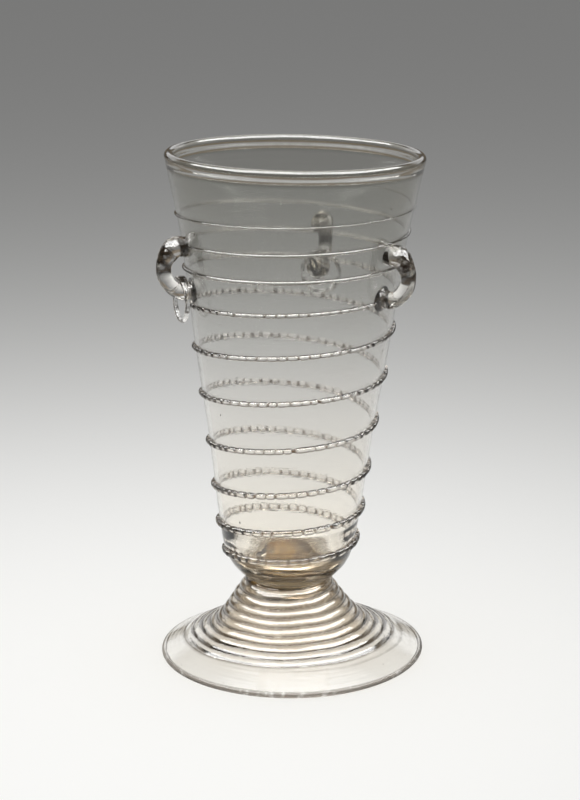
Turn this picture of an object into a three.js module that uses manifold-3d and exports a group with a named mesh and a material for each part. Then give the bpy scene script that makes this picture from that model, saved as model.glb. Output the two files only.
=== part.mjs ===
// Pass glass: a tall footed beaker with a wound thread, three loop handles and two loose rings.
// Millimetres, +Z up. The origin is the centre of the foot, on the table.
// The wide side between the left and the right handle faces -Y.

import * as THREE from "three";
import { mergeVertices } from "three/addons/utils/BufferGeometryUtils.js";
import Module from "manifold-3d";

const wasm = await Module();
wasm.setup();

// Gap between two pieces that touch on the real glass
const seatGap = 0.3;

// Foot: a cone of wound thread, hollow beneath, with a plain brim
const footRadius = 55.1;
const footHeight = 32.7;
const footNeckRadius = 17.3;
const footBoreRadius = 14.9;
const footKneeRadius = 22.3;
const footKneeHeight = 25.3;
const footCalfRadius = 28.5;
const footCalfHeight = 16.9;
const footSkirtRadius = 37.5;
const footSkirtHeight = 10.1;
const footBrimRadius = 50;
const footBrimHeight = 4.4;
const footWall = 2.3;
const footEdgeHeight = 2.5;
const footEdgeRound = 0.8;
const restWidth = 2.6;

// The foot's coil, measured along the cone's slope from the neck down
const coilPitch = 4.23;
const coilDepth = 0.8;
const coilFirstGroove = 4.47;
const coilGrooveAzimuth = 267;
const coilEnd = 39.2;
const coilFadeWidth = 2.2;
const coilBackShift = 3.85;
const coilShiftPower = 1.5;

// Bowl: blown, with a pushed-in base and a rounded lip
const bowlHeight = 178.7;
const bowlLean = 0.93;
const bowlLeanAzimuth = -3;
const bowlOffset = -1.7;
const bowlWall = 1.45;
const baseRadius = 17.4;
const toeRadius = 21.2;
const toeHeight = 3.6;
const heelRadius = 24.4;
const heelHeight = 7.6;
const flankRadius = 26.9;
const flankHeight = 13.4;
const shoulderRadius = 29.5;
const shoulderHeight = 28.6;
const waistRadius = 34.5;
const waistHeight = 66.6;
const chestRadius = 40.7;
const chestDrop = 72;
const throatRadius = 46.2;
const throatDrop = 32;
const mouthRadius = 52.5;
const lipRadius = 1.9;
const lipBlend = 4;
const kickRadius = 14.6;
const kickHeight = 3.2;

// The bowl's hollow: its floor, and the thick corner round it
const floorRadius = 15.2;
const floorHeight = 7.3;
const floorDome = 1.1;
const cornerRadius = 19.4;
const cornerHeight = 8.7;
const cheekRadius = 23.6;
const cheekHeight = 13.8;

// Wad: the lump of glass that joins the bowl to the foot
const wadDepth = 2.4;
const wadHollow = 0.7;

// Thread: one trail of glass wound up the wall, its pitch turn by turn
const threadStartAzimuth = 132;
const threadStartHeight = 10.7;
const threadPitches = [11.4, 15.6, 18.5, 20.7, 19.4, 19, 15, 10.4, 11.7, 10];
const threadTopDrop = 13;
const threadWidthLow = 3.3;
const threadWidthHigh = 0.8;
const threadStandout = 0.62;
const threadEndShare = 0.35;
const threadTaperTurns = 1 / 3;

// Handles: a thick rod drawn out of the wall, up and back to it
const handleFirstAzimuth = 72;
const handleStep = 125;
const handleRootDrop = 54.3;
const handleReach = 11.9;
const handleRise = 18;
const rootRadius = 5.3;
const armRadius = 3.45;
const rodRadius = 3;
const headRadius = 4.5;

// The handle's bend, as shares of its reach and of its rise
const bendLow = [0.7, 0.1];
const bendOut = [0.98, 0.36];
const bendHigh = [1, 0.62];
const bendTop = [0.84, 0.86];
const bendSwell = 0.7;
const headTaper = 0.8;
const headDip = 0.97;

// Rings: loose links that hang on the lower arm of two handles
const ringInnerRadius = 7.4;
const ringWire = 0.95;
const ringOverlapWire = 1.4;
const ringOverlapSpread = 1.9;
const ringStandoff = 4.5;
const ringClearance = 0.4;

// Fineness of the faceted solids
const wallFacets = 48;
const footFacets = 44;
const wadFacets = 32;
const rowsPerCoil = 4;
const brimRows = 3;
const underRows = 7;
const lineSteps = 200;
const threadSteps = 24;
const threadSides = 6;
const rodSteps = 18;
const rodSides = 10;
const ringSteps = 24;
const ringSides = 8;

const { lerp } = THREE.MathUtils;
const fullTurn = 2 * Math.PI;
const glassTint = 0xd8d2c4;

// Joins rings of points into one closed skin, each ring running right-handed about the way ahead.
function skin(rings, closed) {
  const sides = rings[0].length;
  const points = rings.flat();
  const faces = [];
  const bands = closed ? rings.length : rings.length - 1;
  for (let i = 0; i < bands; i += 1) {
    const near = i * sides;
    const far = ((i + 1) % rings.length) * sides;
    for (let j = 0; j < sides; j += 1) {
      const next = (j + 1) % sides;
      faces.push(near + j, near + next, far + next);
      faces.push(near + j, far + next, far + j);
    }
  }
  if (!closed) {
    capRing(points, faces, 0, sides, true);
    capRing(points, faces, (rings.length - 1) * sides, sides, false);
  }
  const geometry = new THREE.BufferGeometry();
  geometry.setFromPoints(points);
  geometry.setIndex(faces);
  return geometry;
}

// Closes one end of a skin with a fan about the ring's middle.
function capRing(points, faces, first, sides, atStart) {
  const middle = new THREE.Vector3();
  for (let j = 0; j < sides; j += 1) {
    middle.addScaledVector(points[first + j], 1 / sides);
  }
  const hub = points.push(middle) - 1;
  for (let j = 0; j < sides; j += 1) {
    const here = first + j;
    const next = first + ((j + 1) % sides);
    faces.push(hub, atStart ? next : here, atStart ? here : next);
  }
}

// Turns an outline of [radius, height] pairs about the Z axis.
function revolve(outline, facets) {
  const profile = outline.map(([radius, height]) => new THREE.Vector2(radius, height));
  return new THREE.LatheGeometry(profile, facets).rotateX(Math.PI / 2);
}

function toSolid(geometry) {
  const bare = geometry.clone();
  bare.deleteAttribute("normal");
  bare.deleteAttribute("uv");
  const merged = mergeVertices(bare);
  const index = Array.from(merged.index.array);
  const triangles = [];
  for (let i = 0; i < index.length; i += 3) {
    const [a, b, c] = index.slice(i, i + 3);
    if (a !== b && b !== c && c !== a) {
      triangles.push(a, b, c);
    }
  }
  const vertProperties = Float32Array.from(merged.attributes.position.array);
  const triVerts = Uint32Array.from(triangles);
  return new wasm.Manifold(new wasm.Mesh({ numProp: 3, vertProperties, triVerts }));
}

function toGeometry(solid) {
  const mesh = solid.getMesh();
  const geometry = new THREE.BufferGeometry();
  geometry.setAttribute("position", new THREE.BufferAttribute(mesh.vertProperties, 3));
  geometry.setIndex(new THREE.BufferAttribute(mesh.triVerts, 1));
  return geometry;
}

function addPiece(group, name, geometry) {
  const material = new THREE.MeshStandardMaterial({
    color: glassTint,
    roughness: 0.06,
    metalness: 0,
    transparent: true,
    opacity: 0.4,
  });
  const mesh = new THREE.Mesh(geometry, material);
  mesh.name = name;
  group.add(mesh);
  return mesh;
}

// The bowl's outer wall, as a smooth line from the base ring to the lip
const wallLine = new THREE.CatmullRomCurve3(
  [
    new THREE.Vector3(baseRadius, 0, 0),
    new THREE.Vector3(toeRadius, 0, toeHeight),
    new THREE.Vector3(heelRadius, 0, heelHeight),
    new THREE.Vector3(flankRadius, 0, flankHeight),
    new THREE.Vector3(shoulderRadius, 0, shoulderHeight),
    new THREE.Vector3(waistRadius, 0, waistHeight),
    new THREE.Vector3(chestRadius, 0, bowlHeight - chestDrop),
    new THREE.Vector3(throatRadius, 0, bowlHeight - throatDrop),
    new THREE.Vector3(mouthRadius, 0, bowlHeight - lipRadius),
  ],
  false,
  "centripetal",
);
const wallProfile = makeWallProfile();

// Heights at which the wall has its rings, closest together where it curves
function wallHeights() {
  const heel = [toeHeight / 3, toeHeight, heelHeight, flankHeight];
  const shoulder = [(flankHeight + shoulderHeight) / 2, shoulderHeight];
  const chest = bowlHeight - chestDrop;
  const throat = bowlHeight - throatDrop;
  const lip = bowlHeight - lipRadius;
  const body = [(shoulderHeight + waistHeight) / 2, waistHeight, chest, (chest + throat) / 2];
  const flare = [throat, lerp(throat, lip - lipBlend, 1 / 2), lip - lipBlend, lip];
  return [0, ...heel, ...shoulder, ...body, ...flare];
}

// The faceted wall, as [radius, height] pairs taken off the smooth line
function makeWallProfile() {
  const points = wallLine.getPoints(lineSteps);
  return wallHeights().map((height) => [outlineRadius(points, height), height]);
}

function outlineRadius(points, height) {
  const above = points.findIndex((point) => point.z >= height);
  const high = points.at(above);
  const low = points.at(Math.max(above - 1, 0));
  const share = high.z > low.z ? (height - low.z) / (high.z - low.z) : 0;
  return lerp(low.x, high.x, share);
}

// Outer radius of the faceted wall at a height
function wallRadius(height) {
  const above = wallProfile.findIndex(([, level]) => level >= height);
  if (above < 0) {
    return mouthRadius;
  }
  const [highRadius, high] = wallProfile[Math.max(above, 1)];
  const [lowRadius, low] = wallProfile[Math.max(above, 1) - 1];
  return THREE.MathUtils.mapLinear(height, low, high, lowRadius, highRadius);
}

function lipArc() {
  const arc = [];
  for (let i = 0; i <= 4; i += 1) {
    const turn = (Math.PI * i) / 4;
    const radius = mouthRadius - lipRadius + lipRadius * Math.cos(turn);
    arc.push([radius, bowlHeight - lipRadius + lipRadius * Math.sin(turn)]);
  }
  return arc;
}

// A shallow dome over the bowl's floor, from the axis out, raised by a level
function domeOutline(dome, radius, level) {
  return [0, 1 / 3, 2 / 3, 1].map((share) => [share * radius, level + dome * (1 - share ** 2)]);
}

function makeBowl() {
  const inside = wallProfile
    .filter(([, height]) => height > cheekHeight && height < bowlHeight - lipRadius)
    .map(([radius, height]) => [radius - bowlWall, height])
    .reverse();
  const corner = [[cheekRadius, cheekHeight], [cornerRadius, cornerHeight]];
  const floor = domeOutline(floorDome, floorRadius, floorHeight).reverse();
  const kick = domeOutline(kickHeight, kickRadius, 0);
  const outline = [...kick, ...wallProfile, ...lipArc(), ...inside, ...corner, ...floor];
  return revolve(outline, wallFacets);
}

// A solid plug of the bowl's outer shape, grown by the seat gap, that cuts what sits on the wall
function makeWallCutter() {
  const outside = wallProfile.map(([radius, height]) => [radius + seatGap, height]);
  const lip = [[mouthRadius + seatGap, bowlHeight], [0, bowlHeight]];
  return toSolid(revolve([[0, 0], ...outside, ...lip], wallFacets));
}

// A plug of the bowl's underside, grown by the seat gap, that shapes the top of the wad
function makeBaseCutter() {
  const top = heelHeight;
  const base = domeOutline(kickHeight, kickRadius - seatGap, -seatGap);
  const sides = [[baseRadius, -seatGap], [baseRadius, top], [0, top]];
  return toSolid(revolve([...base, ...sides], wallFacets));
}

// The wad plugs the foot's bore and takes the shape of the bowl's underside
function makeWad(baseCutter) {
  const radius = footBoreRadius - seatGap;
  const low = footHeight - wadDepth;
  const plug = [
    [0, low + wadHollow],
    [radius / 2, low],
    [radius, low],
    [radius, footHeight + kickHeight],
    [0, footHeight + kickHeight],
  ];
  const placed = revolve(plug, wadFacets).translate(leaning.position.x, leaning.position.y, 0);
  return toGeometry(toSolid(placed).subtract(baseCutter));
}

// The cone's top side, from the neck down to the edge
const coneLine = new THREE.CatmullRomCurve3(
  [
    new THREE.Vector3(footNeckRadius, 0, footHeight),
    new THREE.Vector3(footKneeRadius, 0, footKneeHeight),
    new THREE.Vector3(footCalfRadius, 0, footCalfHeight),
    new THREE.Vector3(footSkirtRadius, 0, footSkirtHeight),
    new THREE.Vector3(footBrimRadius, 0, footBrimHeight),
    new THREE.Vector3(footRadius - footEdgeRound, 0, footEdgeHeight),
  ],
  false,
  "centripetal",
);
const coneLength = coneLine.getLength();

// The point square to the cone's top side, some way down along it; below zero lies beneath it
function offCone(along, distance) {
  const spot = coneLine.getPointAt(along / coneLength);
  const ahead = coneLine.getTangentAt(along / coneLength);
  return [spot.x - ahead.z * distance, spot.z + ahead.x * distance];
}

// How far the coil stands up: the groove climbs with the azimuth, and the outer turns lie further back
function coilLift(along, azimuth) {
  const back = coilBackShift * (along / coilEnd) ** coilShiftPower * Math.sin(azimuth);
  const turned = along - back;
  const turns = azimuth / fullTurn - coilGrooveAzimuth / 360;
  const phase = (turned - coilFirstGroove) / coilPitch + turns;
  const outerFade = THREE.MathUtils.smoothstep(coilEnd - turned, 0, coilFadeWidth);
  const neckFade = THREE.MathUtils.smoothstep(along, 0, coilPitch / 4);
  return coilDepth * outerFade * neckFade * 0.5 * (1 - Math.cos(fullTurn * phase));
}

// One closed outline of the foot at an azimuth: over the coils, round the edge, back beneath
function footOutline(azimuth) {
  const outline = [];
  const coilRows = Math.round((coilEnd / coilPitch) * rowsPerCoil);
  for (let i = 0; i < coilRows; i += 1) {
    const along = (coilEnd * i) / coilRows;
    outline.push(offCone(along, coilLift(along, azimuth)));
  }
  for (let i = 0; i <= brimRows; i += 1) {
    const along = lerp(coilEnd, coneLength, i / brimRows);
    outline.push(offCone(along, coilLift(along, azimuth)));
  }
  outline.push([footRadius, footEdgeHeight / 2]);
  outline.push([footRadius - footEdgeRound, 0]);
  outline.push([footRadius - footEdgeRound - restWidth, 0]);
  for (let i = 0; i <= underRows; i += 1) {
    outline.push(offCone(lerp(coneLength - 2 * footWall, 2 * footWall, i / underRows), -footWall));
  }
  outline.push([footBoreRadius, footHeight - 2 * wadDepth]);
  outline.push([footBoreRadius, footHeight - footEdgeRound]);
  return outline;
}

// The neck stands aside with the bowl's base, and the brim round the origin
function neckShift(height) {
  return bowlOffset * THREE.MathUtils.smoothstep(height, footBrimHeight, footHeight - 2 * wadDepth);
}

function makeFoot() {
  const rings = [];
  const lean = THREE.MathUtils.degToRad(bowlLeanAzimuth);
  for (let i = 0; i < footFacets; i += 1) {
    const azimuth = (fullTurn * i) / footFacets;
    const ring = footOutline(azimuth).map(([radius, height]) => {
      const x = radius * Math.cos(azimuth) + neckShift(height) * Math.cos(lean);
      const y = radius * Math.sin(azimuth) + neckShift(height) * Math.sin(lean);
      return new THREE.Vector3(x, y, height);
    });
    rings.push(ring);
  }
  return skin(rings, true);
}

// Height of the thread after a number of turns; past the list it keeps its last pitch
function threadHeight(turns) {
  let height = threadStartHeight;
  let left = turns;
  for (const pitch of threadPitches) {
    const share = THREE.MathUtils.clamp(left, 0, 1);
    height += pitch * share;
    left -= share;
  }
  return height + Math.max(left, 0) * threadPitches.at(-1);
}

function threadTurnCount() {
  const top = bowlHeight - threadTopDrop;
  let steps = 1;
  while (threadHeight((steps + 1) / threadSteps) < top) {
    steps += 1;
  }
  return steps / threadSteps;
}

// Middle, half height and half depth of the thread after a number of turns
function threadSection(turns) {
  const share = turns / threadTurns;
  const endTurns = Math.min(turns, threadTurns - turns);
  const endTaper = Math.min(1, threadEndShare + endTurns / threadTaperTurns);
  const width = lerp(threadWidthLow, threadWidthHigh, share) * endTaper;
  const height = threadHeight(turns);
  const wall = wallRadius(height);
  const chordSag = wall * (1 - Math.cos(Math.PI / threadSteps));
  const halfDepth = (width * threadStandout) / 2;
  const middle = wall + seatGap + chordSag + halfDepth;
  return { height, middle, halfDepth, halfHeight: width / 2 };
}

// The thread as one unbroken tube; a margin grows it, and a root carries it into the wall
function makeThread(margin, root) {
  const rings = [];
  const steps = Math.round(threadTurns * threadSteps);
  for (let i = 0; i <= steps; i += 1) {
    const turns = i / threadSteps;
    const azimuth = fullTurn * (threadStartAzimuth / 360 + turns);
    const { height, middle, halfDepth, halfHeight } = threadSection(turns);
    const ring = [];
    for (let j = 0; j < threadSides; j += 1) {
      const angle = (fullTurn * j) / threadSides;
      const grown = Math.sin(angle) < 0 ? root : margin;
      const radius = middle + (halfDepth + grown) * Math.sin(angle);
      const z = height + (halfHeight + margin) * Math.cos(angle);
      ring.push(new THREE.Vector3(radius * Math.cos(azimuth), radius * Math.sin(azimuth), z));
    }
    rings.push(ring);
  }
  return skin(rings, false);
}

// Least distance between points of the thread that lie half a turn or more apart
function leastThreadGap(geometry) {
  const spots = geometry.attributes.position;
  const apart = (threadSteps / 2) * threadSides;
  const here = new THREE.Vector3();
  const there = new THREE.Vector3();
  let least = Infinity;
  for (let i = 0; i < spots.count; i += 1) {
    here.fromBufferAttribute(spots, i);
    for (let j = i + apart; j < spots.count - 2; j += 1) {
      least = Math.min(least, here.distanceTo(there.fromBufferAttribute(spots, j)));
    }
  }
  return least;
}

// The handle's middle line in its own upright plane: out, rod radius, up, from the root
function handleLine() {
  const root = wallRadius(bowlHeight - handleRootDrop);
  const lean = wallRadius(bowlHeight - handleRootDrop + handleRise) - root;
  const stations = [
    [-rootRadius / 2, rootRadius, 0],
    [ringStandoff / 3, (rootRadius + armRadius) / 2, 0],
    [ringStandoff, armRadius, 0],
    [handleReach * bendLow[0], rodRadius, handleRise * bendLow[1]],
    [handleReach * bendOut[0], rodRadius, handleRise * bendOut[1]],
    [handleReach * bendHigh[0], rodRadius, handleRise * bendHigh[1]],
    [handleReach * bendTop[0], lerp(rodRadius, headRadius, bendSwell), handleRise * bendTop[1]],
    [(handleReach + lean) / 2, headRadius, handleRise],
    [lean + headRadius / 3, headRadius, handleRise],
    [lean - headRadius / 2, headRadius * headTaper, handleRise * headDip],
  ];
  const points = stations.map(([out, radius, up]) => new THREE.Vector3(root + out, radius, up));
  return new THREE.CatmullRomCurve3(points, false, "centripetal");
}

function makeRod(line) {
  const rings = [];
  const rootHeight = bowlHeight - handleRootDrop;
  for (let i = 0; i <= rodSteps; i += 1) {
    const spot = line.getPoint(i / rodSteps);
    const ahead = line.getTangent(i / rodSteps);
    const across = new THREE.Vector3(ahead.z, 0, -ahead.x).normalize();
    const ring = [];
    for (let j = 0; j < rodSides; j += 1) {
      const angle = (fullTurn * j) / rodSides;
      const out = spot.x + across.x * spot.y * Math.cos(angle);
      const up = rootHeight + spot.z + across.z * spot.y * Math.cos(angle);
      ring.push(new THREE.Vector3(out, spot.y * Math.sin(angle), up));
    }
    rings.push(ring);
  }
  return skin(rings, false);
}

// A handle sits on the wall and over the thread, so both are cut out of it; loose chips go
function makeHandle(azimuth, wallCutter, threadCutter) {
  const rod = toSolid(makeRod(handleLine()).rotateZ(azimuth));
  const bodies = rod.subtract(wallCutter).subtract(threadCutter).decompose();
  bodies.sort((a, b) => b.volume() - a.volume());
  return toGeometry(bodies[0]);
}

// A ring about its swing axis, which is the handle's arm; the ends of its wire lie side by side on top
function makeRing() {
  const rings = [];
  const drop = ringInnerRadius - armRadius - ringClearance;
  for (let i = 0; i < ringSteps; i += 1) {
    const around = (fullTurn * i) / ringSteps;
    const overlap = Math.max(0, Math.cos(around)) ** 3;
    const wire = lerp(ringWire, ringOverlapWire, overlap);
    const spread = lerp(ringWire, ringOverlapSpread, overlap);
    const ring = [];
    for (let j = 0; j < ringSides; j += 1) {
      const angle = (fullTurn * j) / ringSides;
      const reach = ringInnerRadius + wire + wire * Math.cos(angle);
      const side = spread * Math.sin(angle);
      ring.push(new THREE.Vector3(side, reach * Math.sin(around), reach * Math.cos(around) - drop));
    }
    rings.push(ring);
  }
  return skin(rings, true);
}

// Where a ring hangs: on the arm's middle line, off the wall by the ring's standoff
function ringHook(azimuth) {
  const rootHeight = bowlHeight - handleRootDrop;
  const out = wallRadius(rootHeight) + ringStandoff;
  return new THREE.Vector3(out * Math.cos(azimuth), out * Math.sin(azimuth), rootHeight);
}

const threadTurns = threadTurnCount();
const part = new THREE.Group();

// The bowl and what is fixed to it stand on the foot with a slight lean
const leaning = new THREE.Group();
const leanAzimuth = THREE.MathUtils.degToRad(bowlLeanAzimuth);
const leanAngle = THREE.MathUtils.degToRad(bowlLean);
const leanAxis = new THREE.Vector3(-Math.sin(leanAzimuth), Math.cos(leanAzimuth), 0);
const baseHeight = footHeight + seatGap + baseRadius * Math.sin(leanAngle);
leaning.quaternion.setFromAxisAngle(leanAxis, leanAngle);
leaning.position.set(
  bowlOffset * Math.cos(leanAzimuth),
  bowlOffset * Math.sin(leanAzimuth),
  baseHeight,
);
leaning.updateMatrixWorld(true);
part.add(leaning);

addPiece(part, "foot", makeFoot());
addPiece(part, "neck_wad", makeWad(makeBaseCutter().transform(leaning.matrixWorld.elements)));
addPiece(leaning, "bowl", makeBowl());

const thread = makeThread(0, 0);
addPiece(leaning, "trail_thread", thread);
console.log(`least gap of the thread to itself: ${leastThreadGap(thread).toFixed(2)} mm`);

const wallCutter = makeWallCutter();
const threadCutter = toSolid(makeThread(seatGap, bowlWall));
const handleNames = ["back", "left", "right"];
const ringedHandles = ["back", "left"];
handleNames.forEach((name, place) => {
  const azimuth = THREE.MathUtils.degToRad(handleFirstAzimuth + place * handleStep);
  addPiece(leaning, `handle_${name}`, makeHandle(azimuth, wallCutter, threadCutter));
  if (ringedHandles.includes(name)) {
    const ring = addPiece(part, `ring_${name}`, makeRing());
    ring.position.copy(leaning.localToWorld(ringHook(azimuth)));
    ring.rotation.z = azimuth;
  }
});

export default part;
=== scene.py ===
import math

import bpy
import numpy as np
from mathutils import Matrix, Vector, noise


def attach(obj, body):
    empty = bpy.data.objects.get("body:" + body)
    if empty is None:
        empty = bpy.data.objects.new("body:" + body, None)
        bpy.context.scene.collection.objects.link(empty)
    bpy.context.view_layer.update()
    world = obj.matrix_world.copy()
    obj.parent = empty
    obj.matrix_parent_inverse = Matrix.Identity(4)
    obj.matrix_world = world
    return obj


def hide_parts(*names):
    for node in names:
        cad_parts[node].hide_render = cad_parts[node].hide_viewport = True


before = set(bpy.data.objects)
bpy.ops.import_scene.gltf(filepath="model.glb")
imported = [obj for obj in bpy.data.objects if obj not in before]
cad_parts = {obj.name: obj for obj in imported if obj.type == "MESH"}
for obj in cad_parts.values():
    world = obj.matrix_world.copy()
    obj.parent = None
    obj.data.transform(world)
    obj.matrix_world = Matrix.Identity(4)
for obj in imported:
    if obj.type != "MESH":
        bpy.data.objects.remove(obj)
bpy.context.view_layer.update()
print("frame loaded:", sorted(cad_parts))

# Sizes are in millimetres here; meshes are written in metres
mm = 0.001
fullTurn = 2 * math.pi
glassBody = "glass"
curveSamples = 25

view = {
    "place": (-45.55, -852.2, 335.47),
    "pitch": 75.155,
    "turn": -3.0,
    "lens": 96.48,
    "sensor": 36.0,
    "clip": (0.01, 100),
}

floorLook = {
    "size": 14000,
    "middle": (-60, -80),
    "near": 0.955,
    "far": 0.186,
    "reach": 0.524,
    "power": 2.53,
    "tint": (1.0, 1.0, 0.983),
}

# The box and the panel lie at x/z and y/z of a direction, the backdrop and the low light at its y and z
studio = {
    "fill": 1.0,
    "camera": 0.178,
    "backdrop": 0.17,
    "backdropFrom": (-0.35, 0.25),
    "room": 0.1,
    "roomColour": (1.25, 1.0, 0.7, 1),
    "brownBelow": 0.34,
    "lowLight": 1.3,
    "lowThrough": 0.35,
    "lowFrom": (0.13, 0.2),
    "lowTo": (0.52, 0.38),
    "lowBehind": (0.5, 0.8),
    "panel": 3.0,
    "panelAcross": 1.5,
    "panelAlong": 0.7,
    "box": 11.5,
    "boxThrough": 1.3,
    "boxAcross": 1.5,
    "boxAlong": (-1.0, 0.1),
    "boxEdge": 0.08,
    "wings": 0.75,
    "wingFrom": (0.5, 0.85),
    "horizon": 0.001,
}


# Camera, at the photograph's angle
def makeCamera():
    data = bpy.data.cameras.new("camera")
    data.lens = view["lens"]
    data.sensor_width = view["sensor"]
    data.clip_start, data.clip_end = view["clip"]
    camera = bpy.data.objects.new("camera", data)
    bpy.context.scene.collection.objects.link(camera)
    camera.location = Vector(view["place"]) * mm
    camera.rotation_euler = (math.radians(view["pitch"]), 0, math.radians(view["turn"]))
    bpy.context.scene.camera = camera


# Node helpers: a value given is a number, a tuple or another node's output, and inputs go by order or by name
def plug(tree, value, socket):
    if isinstance(value, bpy.types.NodeSocket):
        tree.links.new(value, socket)
    elif value is not None:
        socket.default_value = value


def addNode(tree, kind, inputs=(), **settings):
    node = tree.nodes.new(kind)
    for name, value in settings.items():
        setattr(node, name, value)
    for place, value in inputs.items() if isinstance(inputs, dict) else enumerate(inputs):
        plug(tree, value, node.inputs[place])
    return node


def mathNode(tree, operation, *values):
    return addNode(tree, "ShaderNodeMath", values, operation=operation).outputs[0]


def product(tree, first, *others):
    for other in others:
        first = mathNode(tree, "MULTIPLY", first, other)
    return first


def vectorNode(tree, operation, *values):
    node = addNode(tree, "ShaderNodeVectorMath", values, operation=operation)
    return node.outputs["Value" if operation in ("LENGTH", "DOT_PRODUCT") else "Vector"]


def scaled(tree, vector, factor):
    inputs = {0: vector, "Scale": factor}
    return addNode(tree, "ShaderNodeVectorMath", inputs, operation="SCALE").outputs["Vector"]


def split(tree, vector):
    return addNode(tree, "ShaderNodeSeparateXYZ", [vector]).outputs


def combine(tree, x, y, z):
    return addNode(tree, "ShaderNodeCombineXYZ", [x, y, z]).outputs[0]


def mixColour(tree, share, first, second):
    return addNode(tree, "ShaderNodeMix", {0: share, 6: first, 7: second}, data_type="RGBA").outputs[2]


def softStep(tree, value, low, high):
    inputs = {"Value": value, "From Min": low, "From Max": high}
    return addNode(tree, "ShaderNodeMapRange", inputs, interpolation_type="SMOOTHSTEP").outputs["Result"]


def noiseNode(tree, vector, size, detail, dimensions="3D"):
    inputs = {"W" if dimensions == "1D" else "Vector": vector, "Scale": size, "Detail": detail}
    return addNode(tree, "ShaderNodeTexNoise", inputs, noise_dimensions=dimensions).outputs[0]


# The floor gets one even light and the camera a plain backdrop. The glass sees a dark room with a wide box
# overhead, a dimmer panel behind the box and a low light far behind the glass
def makeWorld():
    world = bpy.data.worlds.new("studio")
    bpy.context.scene.world = world
    world.use_nodes = True
    tree = world.node_tree
    tree.nodes.clear()
    way = addNode(tree, "ShaderNodeTexCoord").outputs["Generated"]
    axes = split(tree, way)
    up = mathNode(tree, "MAXIMUM", axes[2], studio["horizon"])
    aside = mathNode(tree, "ABSOLUTE", mathNode(tree, "DIVIDE", axes[0], up))
    along = mathNode(tree, "DIVIDE", axes[1], up)
    edge = studio["boxEdge"]
    front, back = studio["boxAlong"]
    fromFront = softStep(tree, along, front - edge, front + edge)
    # the box has two wings that reach further back at its sides
    wings = product(tree, softStep(tree, aside, *studio["wingFrom"]), studio["wings"])
    behindBox = mathNode(tree, "SUBTRACT", along, wings)
    box = softStep(tree, aside, studio["boxAcross"] + edge, studio["boxAcross"] - edge)
    box = product(tree, box, fromFront, softStep(tree, behindBox, back + edge, back - edge))
    # the panel lights the brim of the foot
    panel = softStep(tree, aside, studio["panelAcross"] + edge, studio["panelAcross"] - edge)
    panel = product(tree, panel, fromFront, softStep(tree, along, studio["panelAlong"], back))
    # flat glass mirrors the low light
    low = [softStep(tree, axes[2], *studio[name]) for name in ("lowFrom", "lowTo")]
    low = product(tree, *low, softStep(tree, axes[1], *studio["lowBehind"]))
    path = addNode(tree, "ShaderNodeLightPath").outputs
    leaving = path["Is Transmission Ray"]
    # what comes out of the glass again carries less of the lamps than what its surface mirrors
    lowShare = studio["lowThrough"] - studio["lowLight"]
    lowStrength = mathNode(tree, "MULTIPLY_ADD", leaving, lowShare, studio["lowLight"])
    through = product(tree, softStep(tree, along, front, back), studio["boxThrough"])
    dimmed = mathNode(tree, "SUBTRACT", through, studio["box"])
    boxStrength = mathNode(tree, "MULTIPLY_ADD", leaving, dimmed, studio["box"])
    behind = softStep(tree, axes[1], *studio["backdropFrom"])
    walls = mathNode(tree, "MULTIPLY_ADD", behind, studio["backdrop"] - studio["room"], studio["room"])
    for lamp, strength in ((low, lowStrength), (panel, studio["panel"])):
        walls = mathNode(tree, "MAXIMUM", walls, product(tree, lamp, strength))
    seen = mathNode(tree, "MULTIPLY_ADD", box, boxStrength, walls)
    glassy = mathNode(tree, "MAXIMUM", path["Is Glossy Ray"], leaving)
    cameraShare = studio["camera"] - studio["fill"]
    plain = mathNode(tree, "MULTIPLY_ADD", path["Is Camera Ray"], cameraShare, studio["fill"])
    strength = mathNode(tree, "MULTIPLY_ADD", glassy, mathNode(tree, "SUBTRACT", seen, plain), plain)
    # the dark room is brown in the glass
    dark = product(tree, glassy, softStep(tree, seen, studio["brownBelow"], studio["room"]))
    colour = mixColour(tree, dark, (1, 1, 1, 1), studio["roomColour"])
    light = addNode(tree, "ShaderNodeBackground", [colour, strength])
    out = addNode(tree, "ShaderNodeOutputWorld")
    tree.links.new(light.outputs[0], out.inputs["Surface"])


# Painted pool of light: the floor's colour fades from white to grey with the distance from the glass, where a
# studio's light falls off
def makeFloor():
    half = floorLook["size"] / 2 * mm
    mesh = bpy.data.meshes.new("floor")
    corners = [(-half, -half, 0), (half, -half, 0), (half, half, 0), (-half, half, 0)]
    mesh.from_pydata(corners, [], [(0, 1, 2, 3)])
    floor = bpy.data.objects.new("floor", mesh)
    bpy.context.scene.collection.objects.link(floor)
    material = bpy.data.materials.new("paper")
    material.use_nodes = True
    tree = material.node_tree
    shader = tree.nodes["Principled BSDF"]
    shader.inputs["Roughness"].default_value = 1
    shader.inputs["Specular IOR Level"].default_value = 0
    place = addNode(tree, "ShaderNodeTexCoord").outputs["Object"]
    middle = [value * mm for value in floorLook["middle"]] + [0]
    distance = vectorNode(tree, "LENGTH", vectorNode(tree, "SUBTRACT", place, middle))
    share = mathNode(tree, "DIVIDE", distance, floorLook["reach"])
    share = mathNode(tree, "POWER", share, floorLook["power"])
    fade = mathNode(tree, "DIVIDE", floorLook["near"] - floorLook["far"], mathNode(tree, "ADD", share, 1))
    value = mathNode(tree, "ADD", fade, floorLook["far"])
    tree.links.new(scaled(tree, floorLook["tint"], value), shader.inputs["Base Color"])
    mesh.materials.append(material)


makeCamera()
makeWorld()
makeFloor()
print("camera, room and floor made")

# Glass, with what a metre of it takes from red, green and blue light
glassLook = {
    "ior": 1.5,
    "clear": (0.997, 0.997, 0.995),
    "absorbDensity": 24.0,
    "absorbColour": (0.88, 0.77, 0.57),
    "shadow": (0.995, 0.994, 0.99),
    "mottleDetail": 2,
    "mottleMarks": (0.1, 0.5),
}

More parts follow.
